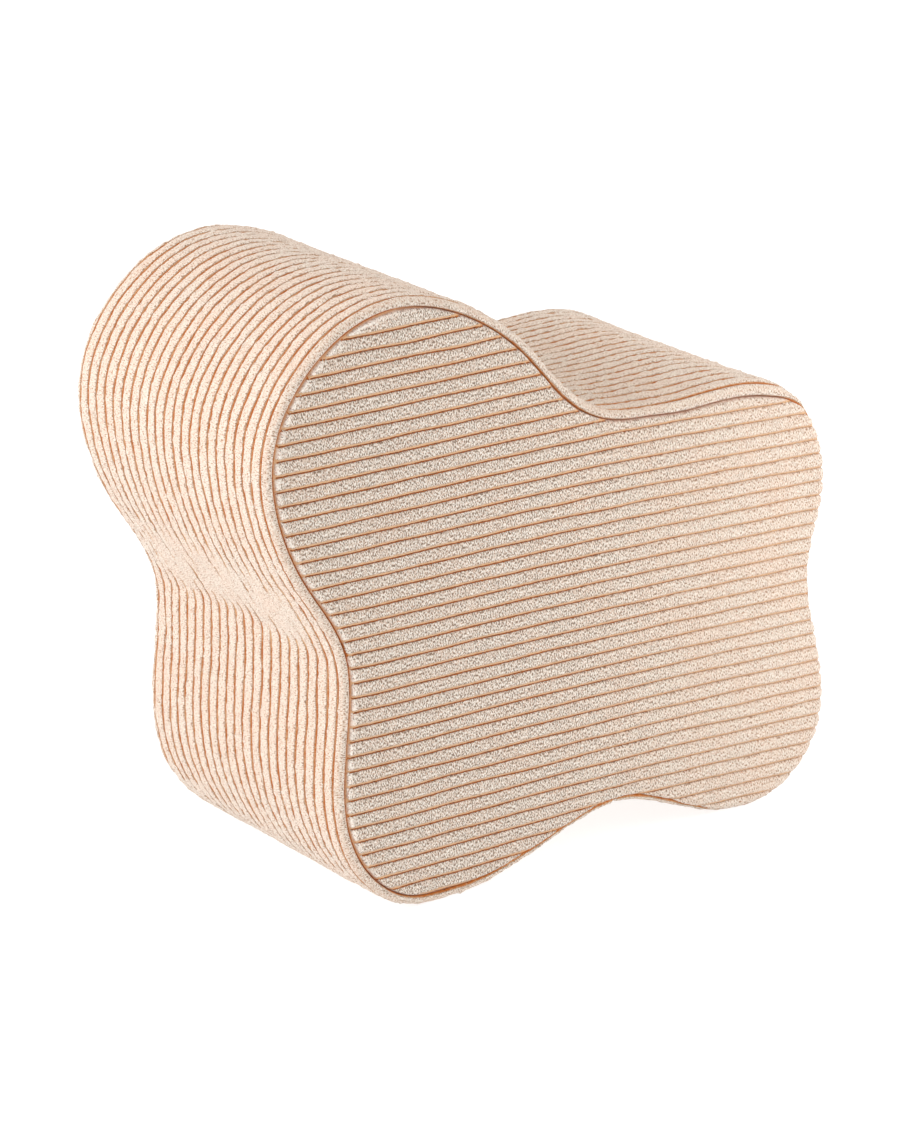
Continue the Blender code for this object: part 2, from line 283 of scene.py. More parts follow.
# How far the cover may swell, the bag that stands for it in the simulation, and how near a point has to be
# to a seam, the zip or the floor to be held by it.
SWELL_CAP = 3.0
BAG_COLUMNS = 220
BAG_VOXEL = 6.5
HELD_BY_SEAM = 4
HELD_BY_ZIP = 12
HELD_PAST_ZIP = 8
HELD_BY_FLOOR = 3
CLOTH_FRAMES = 20


def bag_rings():
    """Rings of the closed bag that the cover makes, from the front seam to the back seam."""
    along = np.linspace(0, line.length, BAG_COLUMNS, endpoint=False)
    to_middle = np.concatenate([[0, QUARTER / 2], np.linspace(QUARTER, BOXING_PATH / 2, 9)])
    steps = np.concatenate([to_middle, BOXING_PATH - to_middle[-2::-1]])
    return [place_on_boxing(along, np.full(BAG_COLUMNS, past))[0] for past in steps]


def make_bag():
    """The bag as a mesh of even squares, which cloth needs."""
    rings = bag_rings()
    around = len(rings[0])
    faces = [list(range(around))]
    for ring in range(len(rings) - 1):
        for i in range(around):
            j = (i + 1) % around
            low, high = ring * around, (ring + 1) * around
            faces.append([low + j, low + i, high + i, high + j])
    last = (len(rings) - 1) * around
    faces.append([last + i for i in reversed(range(around))])
    mesh = bpy.data.meshes.new("bag")
    mesh.from_pydata(np.vstack(rings) * MM, [], faces)
    bag = bpy.data.objects.new("bag", mesh)
    bpy.context.scene.collection.objects.link(bag)
    remesh = bag.modifiers.new("even squares", "REMESH")
    remesh.mode = "VOXEL"
    remesh.voxel_size = BAG_VOXEL * MM
    evaluated = bag.evaluated_get(bpy.context.evaluated_depsgraph_get())
    even = bpy.data.meshes.new_from_object(evaluated)
    bag.modifiers.clear()
    bag.data = even
    return bag


def points_of(mesh):
    """A mesh's points, in mm."""
    points = np.empty(len(mesh.vertices) * 3, np.float32)
    mesh.vertices.foreach_get("co", points)
    return points.reshape(-1, 3).astype(float) / MM


def held_points(points):
    """The points of the bag that a seam, the zip or the floor holds in place."""
    outside = line.nearest(points[:, [0, 2]])[1]
    x, y, z = points.T
    seam = (np.abs(outside) < HELD_BY_SEAM) & (np.abs(y) > HALF_DEPTH - HELD_BY_SEAM)
    zip_band = (y > HALF_DEPTH - HELD_BY_SEAM) & (np.abs(z - ZIP_Z) < HELD_BY_ZIP)
    zip_band &= np.abs(x - ZIP_X) < ZIP_REACH + HELD_PAST_ZIP
    return np.flatnonzero(seam | zip_band | (z < HELD_BY_FLOOR))


class Swelling:
    """How far the cover swells outwards, from a cloth simulation of the bag with air in it."""

    def __init__(self):
        self.tree = None
        bag = make_bag()
        rest = points_of(bag.data)
        held = bag.vertex_groups.new(name="held")
        held.add(held_points(rest).tolist(), 1.0, "REPLACE")
        cloth = bag.modifiers.new("cover", "CLOTH")
        cloth.settings.quality = 4
        cloth.settings.mass = 0.3
        cloth.settings.tension_stiffness = 30
        cloth.settings.compression_stiffness = 30
        cloth.settings.bending_stiffness = 4
        cloth.settings.use_pressure = True
        cloth.settings.uniform_pressure_force = 4
        cloth.settings.vertex_group_mass = "held"
        cloth.settings.effector_weights.gravity = 0
        for number in range(CLOTH_FRAMES):
            bpy.context.scene.frame_set(number + 1)
        evaluated = bag.evaluated_get(bpy.context.evaluated_depsgraph_get())
        moved = points_of(evaluated.data) - rest
        bpy.context.scene.frame_set(1)
        bpy.data.objects.remove(bag)
        self.moved = moved
        self.tree = kdtree.KDTree(len(rest))
        for index, point in enumerate(rest):
            self.tree.insert(point, index)
        self.tree.balance()

    def of(self, points, facing):
        """How far the cover stands out at these points of it, along the way it faces there."""
        if self.tree is None:
            return np.zeros(len(points))
        swell = np.empty(len(points))
        for index, point in enumerate(points):
            near = self.tree.find_n(point, 5)
            weight = np.array([1 / (distance + 1) for _, _, distance in near])
            shift = self.moved[[number for _, number, _ in near]]
            swell[index] = (weight @ shift) @ facing[index] / weight.sum()
        return SWELL_CAP * np.tanh(swell / SWELL_CAP)


swelling = Swelling()


# ---------------------------------------------------------------- shared mesh helpers


def make_piece(name, points, faces, attributes, *materials):
    """A shaded mesh object from points in mm, with its named values at each point."""
    mesh = bpy.data.meshes.new(name)
    mesh.from_pydata(points * MM, [], faces)
    for key, values in attributes.items():
        kind, field = ("FLOAT_VECTOR", "vector") if values.ndim == 2 else ("FLOAT", "value")
        layer = mesh.attributes.new(key, kind, "POINT")
        layer.data.foreach_set(field, values.astype(np.float32).ravel())
    mesh.shade_smooth()
    for material in materials:
        mesh.materials.append(material)
    piece = bpy.data.objects.new(name, mesh)
    bpy.context.scene.collection.objects.link(piece)
    return piece


def rib_round(share):
    """The height of a rib at a share of the way across it, from 0 in a valley to 1 on top."""
    return (1 - np.abs(2 * share - 1) ** 3.4) ** 0.5


def round_end(distance, length):
    """The height of a rib or a fold this far from its end, from 0 there to 1: a quarter of an ellipse."""
    share = np.clip(distance / length, 0, 1)
    return np.sqrt(1 - (1 - share) ** 2)


# ---------------------------------------------------------------- materials


class Shader:
    """A small builder for a material's nodes. Sockets go in and come out."""

    def __init__(self, name, roughness, metallic=0.0):
        self.material = bpy.data.materials.new(name)
        self.material.use_nodes = True
        self.tree = self.material.node_tree
        self.shader = self.tree.nodes["Principled BSDF"]
        self.shader.inputs["Roughness"].default_value = roughness
        self.shader.inputs["Metallic"].default_value = metallic

    def node(self, kind, inputs=(), **settings):
        """A new node with these values or sockets at its inputs."""
        made = self.tree.nodes.new(kind)
        for key, value in settings.items():
            setattr(made, key, value)
        for key, value in dict(inputs).items():
            self.feed(made.inputs[key], value)
        return made

    def feed(self, socket, value):
        if isinstance(value, bpy.types.NodeSocket):
            self.tree.links.new(value, socket)
        else:
            socket.default_value = value

    def attribute(self, name, output="Fac"):
        return self.node("ShaderNodeAttribute", attribute_name=name).outputs[output]

    def millimetres(self):
        """The place on the piece, in mm."""
        return self.stretch(self.node("ShaderNodeTexCoord").outputs["Object"], (1000, 1000, 1000))

    def maths(self, operation, a, b=0.0):
        return self.node("ShaderNodeMath", {0: a, 1: b}, operation=operation).outputs[0]

    def plus(self, a, b):
        return self.maths("ADD", a, b)

    def minus(self, a, b):
        return self.maths("SUBTRACT", a, b)

    def times(self, a, b):
        return self.maths("MULTIPLY", a, b)

    def range(self, value, low, high, to_low=0.0, to_high=1.0):
        """A smooth step from to_low, where the value is low, to to_high, where it is high."""
        inputs = {"Value": value, "From Min": low, "From Max": high, "To Min": to_low, "To Max": to_high}
        return self.node("ShaderNodeMapRange", inputs, interpolation_type="SMOOTHSTEP").outputs["Result"]

    def mix(self, share, a, b):
        made = self.node("ShaderNodeMix", data_type="RGBA")
        self.feed(made.inputs["Factor"], share)
        self.feed(made.inputs[6], a if isinstance(a, bpy.types.NodeSocket) else (*a, 1))
        self.feed(made.inputs[7], b if isinstance(b, bpy.types.NodeSocket) else (*b, 1))
        return made.outputs[2]

    def stretch(self, vector, scale):
        made = self.node("ShaderNodeVectorMath", {0: vector, 1: scale}, operation="MULTIPLY")
        return made.outputs["Vector"]

    def parts(self, vector):
        return self.node("ShaderNodeSeparateXYZ", {"Vector": vector}).outputs

    def noise(self, vector, scale, detail=2.0, roughness=0.5):
        inputs = {"Vector": vector, "Scale": scale, "Detail": detail, "Roughness": roughness}
        return self.node("ShaderNodeTexNoise", inputs).outputs["Fac"]

    def cells(self, vector, scale):
        return self.node("ShaderNodeTexVoronoi", {"Vector": vector, "Scale": scale}).outputs["Distance"]

    def bump(self, height, distance, strength=1.0):
        inputs = {"Height": height, "Distance": distance, "Strength": strength}
        self.feed(self.shader.inputs["Normal"], self.node("ShaderNodeBump", inputs).outputs["Normal"])

    def colour(self, value):
        self.feed(self.shader.inputs["Base Color"], value)


# Colours of the corduroy. PILE, PILE_WARM and FLECK_RED are the cloth's own tone. The others are painted
# light: shade on the ribs' lower flanks and in the dips beside the seams, in the valleys, in the seams and in
# specks between the loops, and highlights on the loop tops and the tufts.
PILE = (0.67, 0.565, 0.465)
PILE_WARM = (0.68, 0.54, 0.43)
BAND_SHADE = (0.63, 0.355, 0.17)
VALLEY_SHADE = (0.47, 0.145, 0.03)
CREASE_SHADE = (0.17, 0.065, 0.025)
SPECK_SHADE = (0.18, 0.12, 0.08)
SPECK_SHADE_WARM = (0.36, 0.19, 0.10)
FLECK_RED = (0.55, 0.28, 0.19)
FLECK_HIGHLIGHT = (0.87, 0.81, 0.73)
TUFT_HIGHLIGHT = (0.98, 0.89, 0.79)


def corduroy():
    """Looped pile: pale on the ribs, with flecks of painted shade and painted highlight; smooth and tan on
    their lower flanks, which is painted shade; dark in the valleys, also painted shade.

    The mesh says where these are: valley (1 at the bottom of one, more in a seam: where the painted shade is
    darkest), band (the smooth flank, in painted shade), nap (how rough the pile is, and how many flecks of
    painted shade and highlight it has), tuft (the frayed pile at the ribs' ends, with a painted highlight)
    and cloth (the place on the cloth, in mm).
    """
    make = Shader("corduroy", 0.95)
    make.shader.inputs["Sheen Weight"].default_value = 0.25
    make.shader.inputs["Sheen Roughness"].default_value = 0.5
    make.shader.inputs["Specular IOR Level"].default_value = 0.15
    valley = make.attribute("valley")
    nap = make.attribute("nap")
    tuft_highlight = make.attribute("tuft_highlight")
    cloth = make.attribute("cloth", "Vector")

    # The pile's loops, and unevenness from 1 mm to 30 mm across.
    dashes = make.stretch(cloth, (1.0, 0.5, 1.0))
    loops = make.noise(dashes, 1.4, 1.0, 0.45)
    grain = make.noise(dashes, 1.8, 0.0)
    broad = make.noise(cloth, 0.035, 2.0)
    ragged = make.minus(make.noise(cloth, 0.8, 2.0), 0.5)
    uneven = make.minus(make.noise(cloth, 0.09, 1.0), 0.5)

    # The shares of painted valley shade, painted flank shade (the smooth band) and pile at a point.
    depth = make.plus(make.times(ragged, 0.3), make.times(uneven, 0.14))
    dark = make.range(make.plus(valley, depth), 0.82, 0.95)
    band = make.range(make.plus(make.attribute("band"), make.times(ragged, 0.5)), 0.15, 0.75)
    pile = make.times(nap, make.minus(1.0, make.maths("MAXIMUM", band, dark)))
    some_pile = make.range(pile, 0.05, 0.35)

    # The pile's colour: flecks of painted highlight on the loop tops, the tufts' painted highlight, red
    # flecks and specks of painted shade between the loops, on a broad warm drift.
    colour = make.mix(make.range(broad, 0.35, 0.65), PILE, PILE_WARM)
    lights = make.times(make.range(loops, 0.51, 0.57), pile)
    colour = make.mix(make.times(lights, 0.9), colour, FLECK_HIGHLIGHT)
    colour = make.mix(tuft_highlight, colour, TUFT_HIGHLIGHT)
    reds = make.times(make.range(grain, 0.6, 0.68), some_pile)
    colour = make.mix(make.times(reds, 0.6), colour, FLECK_RED)
    density = make.minus(make.range(nap, 0.2, 1.0, 0.385, 0.46), make.times(tuft_highlight, 0.1))
    shade_specks = make.times(make.range(make.minus(density, loops), 0.0, 0.045), some_pile)
    # The specks' painted shade is warmer where the nap is low.
    shade = make.mix(make.range(nap, 0.4, 0.9), SPECK_SHADE_WARM, SPECK_SHADE)
    colour = make.mix(make.times(shade_specks, 0.8), colour, shade)

    # Painted shade over it: tan on the smooth band, dark in the valleys and darkest in the seams.
    colour = make.mix(make.times(band, 0.9), colour, BAND_SHADE)
    colour = make.mix(dark, colour, VALLEY_SHADE)
    crease = make.plus(valley, make.times(ragged, 0.7))
    make.colour(make.mix(make.range(crease, 1.02, 1.14), colour, CREASE_SHADE))

    height = make.plus(loops, make.times(grain, 0.5))
    make.bump(make.times(height, make.plus(make.times(pile, 0.85), 0.15)), 0.0016, 0.8)
    return make.material


def woven(name, colour, shade, thread, roughness):
    """Plain weave: threads of this width in mm over and under each other, a little uneven in tone."""
    make = Shader(name, roughness)
    make.shader.inputs["Specular IOR Level"].default_value = 0.2
    spot = make.millimetres()
    x, y, z = make.parts(spot)
    count = 2 * math.pi / thread
    warp = make.maths("SINE", make.times(make.plus(x, y), count))
    weft = make.maths("SINE", make.times(make.minus(z, y), count))
    weave = make.times(warp, weft)
    slub = make.noise(make.stretch(spot, (0.2, 0.2, 1.0)), 1.5, 3.0)
    tone = make.plus(make.times(weave, 0.3), slub)
    make.colour(make.mix(make.range(tone, 0.2, 0.8), shade, colour))
    make.bump(make.plus(weave, slub), 0.3 * thread * MM, 0.7)
    return make.material


def open_foam():
    """Cut upholstery foam: open cells of a millimetre or less, with a faint saw pattern."""
    make = Shader("foam", 0.95)
    spot = make.millimetres()
    small = make.cells(spot, 0.9)
    large = make.cells(spot, 0.35)
    saw = make.noise(make.stretch(spot, (0.05, 0.05, 1.2)), 0.6, 2.0)
    # Painted shade: the pores are darker, as shade falls into the open cells.
    pores = make.times(small, make.range(large, 0.1, 0.5, 0.7, 1.0))
    colour = make.mix(make.range(pores, 0.1, 0.45), (0.62, 0.55, 0.38), (0.90, 0.86, 0.72))
    make.colour(make.mix(make.range(saw, 0.4, 0.7, 0.0, 0.25), colour, (0.80, 0.72, 0.52)))
    make.bump(pores, 0.0006, 0.9)
    return make.material


def fibre_wadding():
    """Polyester wadding: white tangled fibres with soft clumps."""
    make = Shader("wadding", 0.9)
    make.shader.inputs["Sheen Weight"].default_value = 0.5
    spot = make.millimetres()
    strands = make.noise(make.stretch(spot, (0.25, 0.6, 1.6)), 1.8, 4.0, 0.7)
    clumps = make.noise(spot, 0.08, 2.0)
    colour = make.mix(make.range(strands, 0.35, 0.62), (0.72, 0.72, 0.70), (0.95, 0.95, 0.93))
    make.colour(make.mix(make.range(clumps, 0.4, 0.7, 0.0, 0.4), colour, (0.86, 0.86, 0.83)))
    make.bump(make.plus(strands, clumps), 0.0012, 0.8)
    return make.material


def die_cast():
    """Plated zinc: fine brushed lines, rubbed a little brighter and duller in places."""
    make = Shader("zinc", 0.35, 1.0)
    spot = make.millimetres()
    brushed = make.noise(make.stretch(spot, (0.3, 3.0, 6.0)), 2.5, 3.0)
    rubbed = make.noise(spot, 0.35, 3.0)
    make.colour(make.mix(make.range(rubbed, 0.3, 0.7), (0.60, 0.57, 0.53), (0.78, 0.76, 0.72)))
    worn = make.range(rubbed, 0.3, 0.7, 0.22, 0.38)
    make.feed(make.shader.inputs["Roughness"], make.plus(worn, make.times(brushed, 0.12)))
    make.bump(brushed, 0.00003, 0.5)
    return make.material


def nylon():
    """Dyed nylon wire: smooth, slightly glossy, faintly uneven in colour."""
    make = Shader("nylon", 0.38)
    make.shader.inputs["Subsurface Weight"].default_value = 0.15
    make.shader.inputs["Subsurface Scale"].default_value = 0.0005
    tone = make.noise(make.millimetres(), 0.5, 2.0)
    make.colour(make.mix(make.range(tone, 0.3, 0.7), (0.66, 0.52, 0.38), (0.74, 0.61, 0.47)))
    make.bump(tone, 0.0001, 0.3)
    return make.material


CORDUROY = corduroy()
TAPE = woven("zip tape", (0.72, 0.56, 0.41), (0.55, 0.40, 0.27), 0.8, 0.8)
THREAD_COTTON = woven("thread", (0.80, 0.62, 0.44), (0.58, 0.38, 0.22), 0.5, 0.6)
CALICO = woven("calico", (0.86, 0.82, 0.73), (0.68, 0.62, 0.52), 0.7, 0.9)
SATIN = woven("label satin", (0.93, 0.92, 0.89), (0.80, 0.79, 0.76), 0.3, 0.35)
FOAM = open_foam()
WADDING = fibre_wadding()
ZINC = die_cast()
NYLON = nylon()


# ---------------------------------------------------------------- the cover


def ripple(points):
    """A faint unevenness of the padding under the cover."""
    x, y, z = points.T
    across = np.sin(x / 31 + 1.3 * np.sin(z / 47))
    upwards = np.sin(z / 27 + y / 39 + 0.7) * np.cos(y / 33 - x / 57)
    return 0.25 * (across + upwards)


def settle(points):
    """Nothing lies below the surface that the cushion stands on."""
    points[:, 2] = np.maximum(points[:, 2], 0)
    return points


def raise_cover(spot, facing, height, seam_distance):
    """Lifts the cover to its height over the valleys' floor, where the padding swells it out."""
    swell = swelling.of(spot, facing) + ripple(spot) * smooth(seam_distance, 0, 30)
    return settle(spot + facing * (swell + height - RIB_HEIGHT)[:, None])


class BoxingFade:
    """Where the valleys of the boxing close up: in the hollows of the outline the pile is pressed together.
    Beside the tall lobe this happens on the lobe's own slope. The valleys nearest a seam stay open."""

    TALL_LOBE = (-105, 290)
    TOWARDS_LOBE = 30
    HOLLOW_BEND = 0.004
    HOLLOW_WIDTH = 20
    OPEN_VALLEYS = 3
    REACH = (10, 26)
    SLIP = 7
    RAMP = 14
    CLOSED = 0.94

    def __init__(self, seed=11):
        rng = np.random.default_rng(seed)
        hollow = -line.bend
        width = round(self.HOLLOW_WIDTH / line.spacing)
        deepest = np.array([
            hollow.take(range(i - width, i + width), mode="wrap").max() for i in range(line.count)
        ])
        peaks = np.flatnonzero((hollow > self.HOLLOW_BEND) & (hollow == deepest))
        lobe = line.nearest(np.array([self.TALL_LOBE]))[0][0]
        away = lobe - peaks * line.spacing
        beside_lobe = np.abs(away) < line.length / 4
        self.middles = lobe - away + self.TOWARDS_LOBE * np.sign(away) * beside_lobe
        shape = (BOXING_RIBS + 1, len(peaks))
        self.reach = rng.uniform(*self.REACH, shape)
        self.slip = rng.normal(0, self.SLIP, shape)

    def of(self, number, travel):
        """1 where this valley is open and 0 where it has closed up."""
        openness = np.ones(len(travel))
        half = line.length / 2
        for j, middle in enumerate(self.middles):
            gap = (travel - middle + self.slip[number, j] + half) % line.length - half
            reach = self.reach[number, j]
            openness *= smooth(np.abs(gap), reach - self.RAMP, reach + self.RAMP)
        from_seam = np.minimum(number, BOXING_RIBS - number)
        closing = smooth(from_seam, self.OPEN_VALLEYS - 1, self.OPEN_VALLEYS + 2)
        return 1 - self.CLOSED * closing * (1 - openness)


# How far the ribs sink beside the boxing's own join, and the coarse grid of the cover's hidden inner side.
JOIN_REACH = 3
LINING_STEP = 12.0
LINING_MARGIN = 6


def boxing_columns():
    """Distances along the line for the boxing's columns: close together where its two ends are joined."""
    ends = np.array([0.0, 0.7, 1.6])
    middle = np.linspace(JOIN_REACH, line.length - JOIN_REACH, 440)
    return np.concatenate([ends, middle, line.length - ends[:0:-1]])


def boxing_skin(along, number):
    """The boxing's outer points, for distances along it and rib numbers from the front seam to the back
    one, with their values for the material."""
    rib = np.minimum(np.floor(number).astype(int), BOXING_RIBS - 1)
    share = number - rib
    bend = Wander(BOXING_RIBS + 1, BOXING_BEND, SHORT_WAVES, seed=3)
    bend.swing[[0, -1]] = 0
    front = line.value_at(along, SEAM_SHIFT[-1])
    past = front + (BOXING_PATH - front) * number / BOXING_RIBS + bend.between(number, along)

    fade = BoxingFade().of(np.rint(number).astype(int), along)
    tall = 1 + Wander(BOXING_RIBS + 1, BOXING_TALL, SHORT_WAVES, seed=4).between(number, along)
    join = 0.4 + 0.6 * smooth(np.minimum(along, line.length - along), 0, JOIN_REACH)
    seam = (number == 0) | (number == BOXING_RIBS)
    height = RIB_HEIGHT * (1 - fade * (1 - rib_round(share))) * tall * join - SEAM_DIVE * seam
    fuzz = np.random.default_rng(5).normal(size=len(height))
    height = height + BOXING_FUZZ * fuzz * smooth(height, 1.2, 2.2)
    seam_distance = BOXING_PATH / 2 - np.abs(past - BOXING_PATH / 2)
    points = raise_cover(*place_on_boxing(along, past), height, seam_distance)

    # Painted shade for the material: dark along the valleys and the boxing's own join, tan on the band beside
    # each valley, and more painted specks near the valleys. It fades where a valley closes up.
    distance = np.minimum(share, 1 - share)
    nap = 0.36 + 0.06 * (1 - fade) + 0.3 * fade * (1 - smooth(distance, 0.15, 0.35))
    return points, {
        "valley": np.maximum(fade * (1.02 - 2.1 * distance), 0.95 * (along == 0)),
        "band": 0.8 * fade * (1 - smooth(distance, 0.06, 0.15)),
        "nap": np.where(number < 0.6, 0.9 - 0.8 * number, nap),
        "tuft_highlight": np.zeros(len(along)),
        "cloth": np.column_stack([along, past, np.zeros(len(along))]),
    }


def boxing_faces(columns, rows, depth):
    """The faces of the outer skin, of the lining behind it, and of the two edges between them."""
    start = columns * rows
    faces = grid_faces(columns, rows, 0)
    faces += [face[::-1] for face in grid_faces(columns, depth, start)]
    for i in range(columns):
        j = (i + 1) % columns
        faces.append([start + i * depth, start + j * depth, j * rows, i * rows])
        near, far = start + (i + 1) * depth - 1, start + (j + 1) * depth - 1
        faces.append([far, near, (i + 1) * rows - 1, (j + 1) * rows - 1])
    return faces


def with_lining(values, lining):
    """The skin's values with those of its lining after them, which nobody sees."""
    return {
        key: np.concatenate([value, np.zeros((len(lining), *value.shape[1:]))])
        for key, value in values.items()
    }


def make_boxing():
    """The strip round the outline, with its ribs along it, as a closed skin."""
    travel = boxing_columns()
    numbers = np.array([rib + share for rib in range(BOXING_RIBS) for share in BOXING_SHARES] + [BOXING_RIBS])
    columns, rows = len(travel), len(numbers)
    skin, values = boxing_skin(np.repeat(travel, rows), np.tile(numbers, columns))
    lining_past = np.arange(LINING_MARGIN, BOXING_PATH - LINING_MARGIN, LINING_STEP)
    depth = len(lining_past)
    spot, facing = place_on_boxing(np.repeat(travel, depth), np.tile(lining_past, columns))
    lining = settle(spot - facing * COVER_WALL)
    faces = boxing_faces(columns, rows, depth)
    points = np.vstack([skin, lining])
    piece = make_piece("corduroy_boxing", points, faces, with_lining(values, lining), CORDUROY)
    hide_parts("cover_boxing")
    return piece


def grid_faces(columns, rows, start):
    """Squares between neighbouring columns of points, the last column joining the first. They face out."""
    faces = []
    for i in range(columns):
        here, beyond = start + i * rows, start + (i + 1) % columns * rows
        faces += [[here + r + 1, beyond + r + 1, beyond + r, here + r] for r in range(rows - 1)]
    return faces


class PanelRibs:
    """The level ribs of a panel. A point's number counts the valleys above it and adds the share of the way
    across its rib."""

    def __init__(self, seed):
        self.bend = Wander(PANEL_RIBS + 2, PANEL_BEND, LONG_WAVES, seed)
        self.tall = Wander(PANEL_RIBS + 2, PANEL_TALL, LONG_WAVES, seed + 1)

    def lean(self, x):
        """The ribs droop a little towards both ends, and tilt down to the right."""
        return -0.033 * x - 1.0e-4 * x * x - 4e-8 * x ** 3

    def height_of(self, number, x):
        """The height above the floor of a point with this number."""
        return PANEL_TOP_VALLEY - PITCH * number + self.lean(x) + self.bend.between(number, x)

    def number_at(self, x, z):
        """The number of a point, found by a few corrections of a first guess that leaves out the bends."""
        number = (PANEL_TOP_VALLEY + self.lean(x) - z) / PITCH
        for _ in range(4):
            number = number + (self.height_of(number, x) - z) / PITCH
        return np.clip(number, 0, PANEL_RIBS)


def zip_edge(x, side):
    """The height of the edge of the back's upper (1) or lower (-1) half along the zip."""
    slot = 1 - smooth(np.abs(x - ZIP_X), ZIP_REACH - 1, ZIP_REACH + 3)
    return ZIP_Z + side * (CUT_GAP + (SLOT_HALF_WIDTH - CUT_GAP) * slot)


class Panel:
    """One flat panel of the cover, cut along the seam line and, on the back, along the zip.
    side is -1 on the front and 1 on the back; half is 1 above the zip, -1 below it and 0 with no zip."""

    GRID = 1.6
    EDGE_STEP = 1.3
    RINGS = (0.5, 1.2, 2.0, 2.8)
    GRID_INSET = 3.5
    LINING_INSET = 8

    def __init__(self, side, half, seed):
        self.side = side
        self.half = half
        self.ribs = PanelRibs(seed)
        self.ragged = Wander(PANEL_RIBS + 2, RAGGED_ENDS, LONG_WAVES, seed + 2)
        self.fuzz = np.random.default_rng(seed + 3)

    def locate(self, flat):
        """For points of the flat pattern: how far they lie inside the seam and inside the zip's edge, the
        way out of the outline, where they come to lie on the cover, and which way it faces there."""
        travel, outside, foot, outward = line.nearest(flat)
        seam = line.value_at(travel, SEAM_SHIFT[self.side]) - outside
        cut = np.full(len(flat), np.inf)
        if self.half:
            cut = self.half * (flat[:, 1] - zip_edge(flat[:, 0], self.half))
        return seam, cut, outward, *place(foot, outward, outside, self.side)

    def inset_line(self, inset):
        """The closed line this far inside the panel's edge."""
        travel = np.arange(0, line.length, self.EDGE_STEP)
        past = line.value_at(travel, SEAM_SHIFT[self.side]) - inset
        foot = line.value_at(travel, line.points)
        edge = foot + line.value_at(travel, line.outward) * past[:, None]
        if self.half == 0:
            return edge
        inside = self.half * (edge[:, 1] - zip_edge(edge[:, 0], self.half)) > inset + 0.4
        first = next(i for i in range(len(edge)) if inside[i] and not inside[i - 1])
        edge = np.roll(edge, -first, axis=0)[np.roll(inside, -first)]
        count = round(abs(edge[0, 0] - edge[-1, 0]) / self.EDGE_STEP)
        x = np.linspace(edge[-1, 0], edge[0, 0], count + 2)
        cut = np.column_stack([x, zip_edge(x, self.half) + self.half * inset])
        return np.vstack([edge, cut])

    def rib_points(self, spacing, shares, margin):
        """Points along the ribs, at these shares of the way across each, well inside the panel's edge."""
        x = np.arange(BOXING_LOW.x - 10, BOXING_HIGH.x + 10, spacing)
        numbers = np.array([rib + share for rib in range(PANEL_RIBS) for share in shares])
        across = np.tile(x, len(numbers))
        z = self.ribs.height_of(np.repeat(numbers, len(x)), across)
        flat = np.column_stack([across, z])
        seam, cut = self.locate(flat)[:2]
        return flat[np.minimum(seam, cut) > margin]

    def surface(self, flat):
        """The panel's points for these points of the flat pattern, with their values for the material."""
        seam, cut, outward, spot, facing = self.locate(flat)
        x, z = flat.T
        out_x, out_z = outward.T
        number = self.ribs.number_at(x, z)
        rib = np.minimum(np.floor(number).astype(int), PANEL_RIBS - 1)
        share = np.where(number < FIRST_VALLEY - 0.4, 0.5, number - rib)

        # Along the left the seam pulls on the ribs, which end in frayed tufts with a painted highlight, and
        # the painted shade in the seam is wider and darker there. Along the top the seam is faint, and so is
        # its painted shade.
        pull = smooth(0.5 * out_z - out_x, 0.2, 0.8) * (1 - smooth(x, -20, 40))
        faint = smooth(out_z, 0.2, 0.7) * (1 - pull)
        start = STRIP + 0.9 * pull - 0.3 * faint + 0.7 * self.ragged.of(rib, np.zeros(len(rib)))
        pressed = 1 - 0.75 * np.exp(-((cut - STITCH_INSET) / STITCH_PRESS) ** 2)
        edge = np.minimum(seam, cut)
        height = RIB_HEIGHT * rib_round(share) * (1 + self.ribs.tall.between(number, x)) * pressed
        height *= round_end(seam - start, RIB_END) * round_end(cut, FOLD_ROUND)
        height -= SEAM_DIVE * (1 - np.clip(edge / SEAM_DIVE_REACH, 0, 1))
        frayed = 1 + 1.5 * pull * (1 - smooth(seam, start + 1, start + 3))
        height += PANEL_FUZZ * frayed * self.fuzz.normal(size=len(flat)) * smooth(height, 0.5, 1.5)

        # To the right the fill light falls, so the lines between the ribs are softer: the painted shade in
        # the valleys and on the flanks, and the pile's painted flecks, are lighter there.
        fill_lit = smooth(x, -60, 170)
        # The painted shade of the valleys between the ribs, a little wider near the ribs' ends.
        between = np.maximum(1.13 - 5.5 * np.minimum(share, 1 - share), 0)
        between *= smooth(seam - start, 0, 0.3 * RIB_END) * (1 - 0.2 * fill_lit)
        between += 0.08 * (1 - smooth(seam, start + 1, start + 6)) * (between > 0.6)
        # The painted shade in the seam's groove.
        crease_width = 0.6 + 0.9 * pull - 0.2 * faint
        crease = 1.08 + 0.07 * pull - 0.16 * faint - 0.5 * (edge / crease_width) ** 2
        # Painted shade on the ribs' lower flanks.
        flank = np.where(share < 0.01, 1.0, smooth(share, 0.71, 0.88)) * (0.95 - 0.25 * fill_lit)
        # The bare strip beside the seam and the line pressed in by the stitches take the same tan, as painted
        # shade in their dips.
        strip = 0.85 * (1 - smooth(seam, start - 0.4, start + 0.3)) + 0.75 * (1 - pressed)
        return raise_cover(spot, facing, height, edge), {
            "valley": np.maximum(between, crease),
            "band": np.maximum(flank, strip),
            "nap": smooth(seam, start - 0.2, start + 0.4) * (1 - 0.42 * fill_lit),
            "tuft_highlight": pull * (1 - smooth(seam, start + 1.2, start + 3.4)),
            "cloth": np.column_stack([x, z, np.zeros(len(flat))]),
        }

